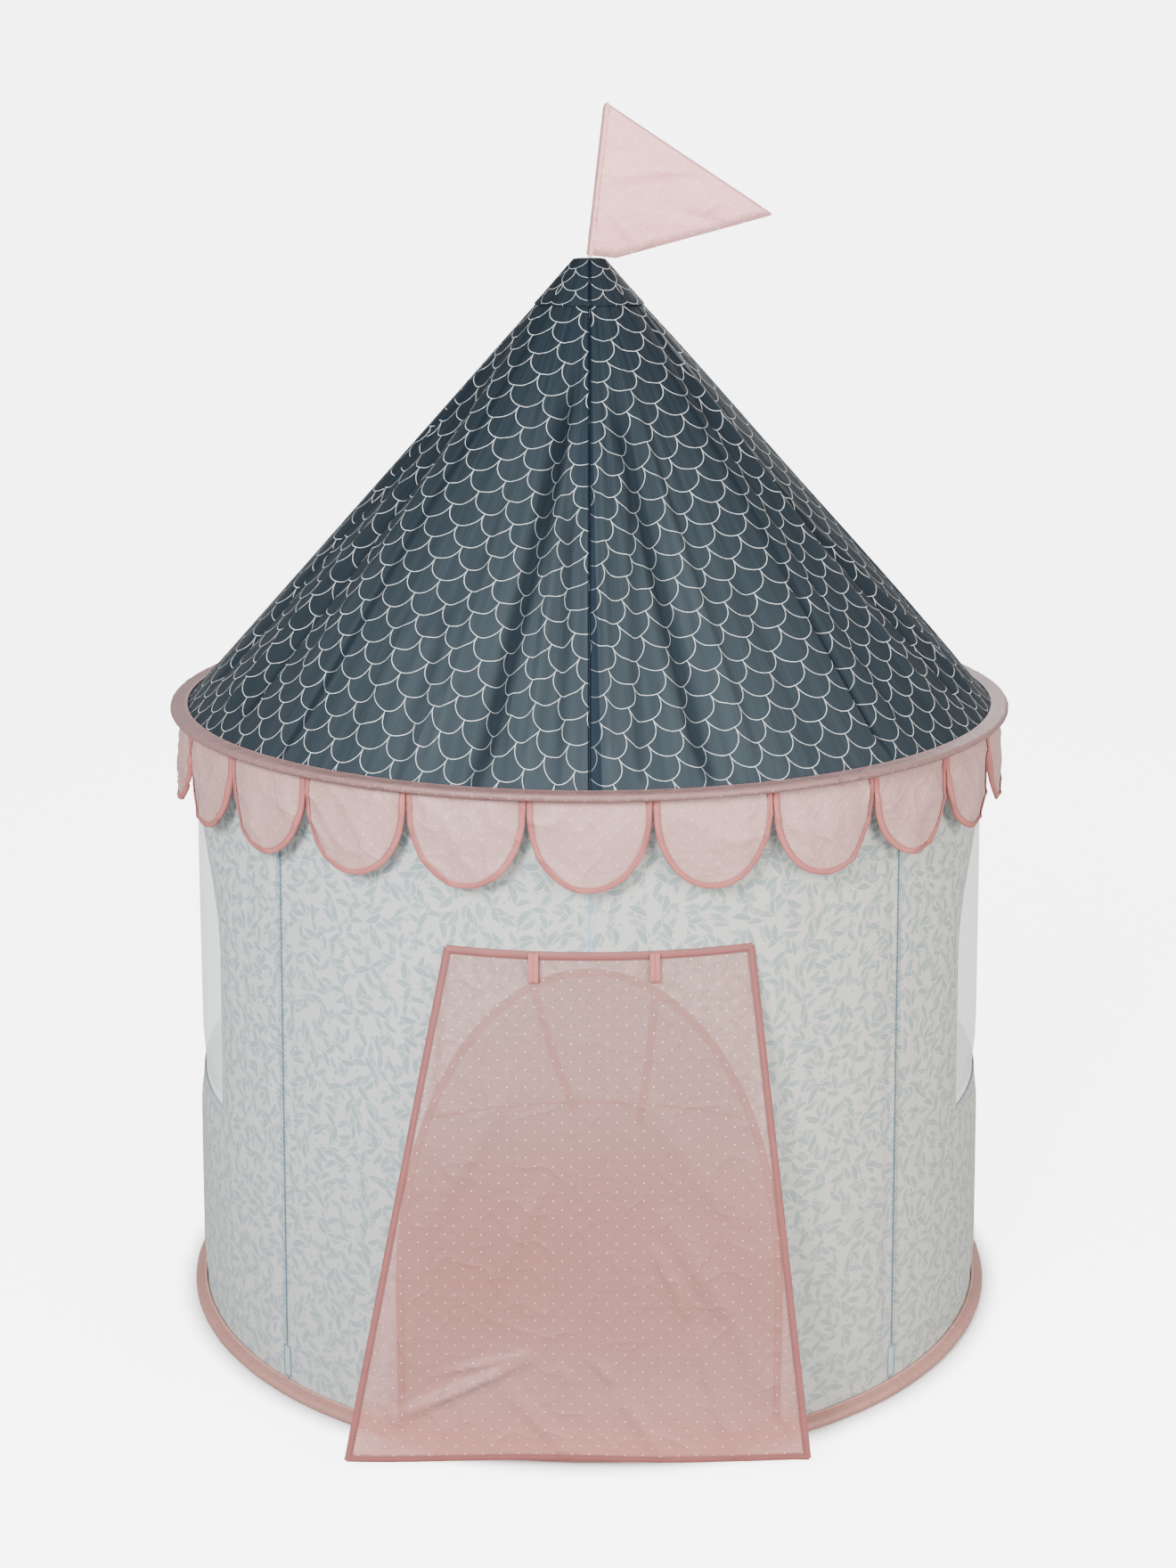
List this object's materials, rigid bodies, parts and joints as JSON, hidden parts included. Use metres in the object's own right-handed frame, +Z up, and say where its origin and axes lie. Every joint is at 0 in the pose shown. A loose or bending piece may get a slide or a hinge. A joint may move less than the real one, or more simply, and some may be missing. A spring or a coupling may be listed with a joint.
{
  "type": "kids play tent",
  "caption": "Round play tent with a cone roof, scalloped valance, arched door under a lifting flap, net side windows and a pennant on a thin mast.",
  "frame": {"origin": "The centre of the round base ring, on the floor that the tent stands on.", "axes": "+Z is up, towards the flag. The door and its flap face -Y, and the flag flies towards +X."},
  "size_m": [1.058, 1.0749, 1.5004],
  "materials": {
    "roof_cloth": "woven polyester, slate blue with a white fish-scale print",
    "wall_cloth": "woven polyester, off-white with pale leaves",
    "pink_cloth": "thin woven polyester, pale pink with white pin dots",
    "pink_tape": "folded polyester binding tape, dusty pink",
    "net": "sheer white polyester net",
    "lining": "plain white lining tape",
    "rod": "white glass-fibre rod",
    "hoop_wire": "sprung steel wire",
    "socket_plastic": "white moulded socket",
    "foot_plastic": "black end cap"
  },
  "bodies": {
    "tent": {"apex_cap": "roof_cloth", "apex_hub": "socket_plastic", "base_casing": "pink_tape", "base_hoop": "hoop_wire", "door_arch_binding": "pink_tape", "eaves_casing": "pink_tape", "eaves_elbow_1": "socket_plastic", "eaves_elbow_2": "socket_plastic", "eaves_elbow_3": "socket_plastic", "eaves_elbow_4": "socket_plastic", "eaves_hoop": "hoop_wire", "foot_pocket_1": "lining", "foot_pocket_2": "lining", "foot_pocket_3": "lining", "foot_pocket_4": "lining", "pole_foot_cap_1": "foot_plastic", "pole_foot_cap_2": "foot_plastic", "pole_foot_cap_3": "foot_plastic", "pole_foot_cap_4": "foot_plastic", "roof_panel_back_left": "roof_cloth", "roof_panel_back_right": "roof_cloth", "roof_panel_front_left": "roof_cloth", "roof_panel_front_right": "roof_cloth", "roof_pole_1": "rod", "roof_pole_2": "rod", "roof_pole_3": "rod", "roof_pole_4": "rod", "roof_pole_sleeve_1": "lining", "roof_pole_sleeve_2": "lining", "roof_pole_sleeve_3": "lining", "roof_pole_sleeve_4": "lining", "valance_back_left": "pink_cloth", "valance_back_right": "pink_cloth", "valance_front_left": "pink_cloth", "valance_front_right": "pink_cloth", "wall_panel_back_left": "wall_cloth", "wall_panel_back_right": "wall_cloth", "wall_panel_front_left": "wall_cloth", "wall_panel_front_right": "wall_cloth", "wall_pole_1": "rod", "wall_pole_2": "rod", "wall_pole_3": "rod", "wall_pole_4": "rod", "wall_pole_sleeve_1": "lining", "wall_pole_sleeve_2": "lining", "wall_pole_sleeve_3": "lining", "wall_pole_sleeve_4": "lining", "window_net_left": "net", "window_net_right": "net"},
    "door_flap": {"door_flap": "pink_cloth", "flap_binding": "pink_tape"},
    "tie_loop_left": {"tie_loop_left": "pink_tape"},
    "tie_loop_right": {"tie_loop_right": "pink_tape"},
    "tie_ribbon_left": {"tie_ribbon_left": "pink_tape"},
    "tie_ribbon_right": {"tie_ribbon_right": "pink_tape"},
    "flag_mast": {"flag_mast": "rod"},
    "flag": {"flag": "pink_cloth"}
  },
  "joints": [
    {"name": "door_flap_lift", "type": "hinge", "parent": "tent", "child": "door_flap", "pos_m": [0, -0.49991, 0.603], "axis": [-1, 0, 0], "range_deg": [0, 120]},
    {"name": "tie_loop_left_swing", "type": "hinge", "parent": "door_flap", "child": "tie_loop_left", "pos_m": [-0.0601, -0.49714, 0.60308], "axis": [-1, 0, 0], "range_deg": [0, 50]},
    {"name": "tie_loop_right_swing", "type": "hinge", "parent": "door_flap", "child": "tie_loop_right", "pos_m": [0.07012, -0.49582, 0.60307], "axis": [-1, 0, 0], "range_deg": [0, 50]},
    {"name": "tie_ribbon_left_swing", "type": "hinge", "parent": "tent", "child": "tie_ribbon_left", "pos_m": [-0.06, -0.49126, 0.56506], "axis": [1, 0, 0], "range_deg": [0, 80]},
    {"name": "tie_ribbon_right_swing", "type": "hinge", "parent": "tent", "child": "tie_ribbon_right", "pos_m": [0.072, -0.48983, 0.55807], "axis": [1, 0, 0], "range_deg": [0, 80]},
    {"name": "flag_mast_pull", "type": "slide", "parent": "tent", "child": "flag_mast", "axis": [0.1149, 0, 0.9934], "range_m": [0, 0.045]},
    {"name": "flag_swivel", "type": "hinge", "parent": "flag_mast", "child": "flag", "pos_m": [0, 0, 1.3165], "axis": [0.1149, 0, 0.9934], "continuous": true}
  ]
}
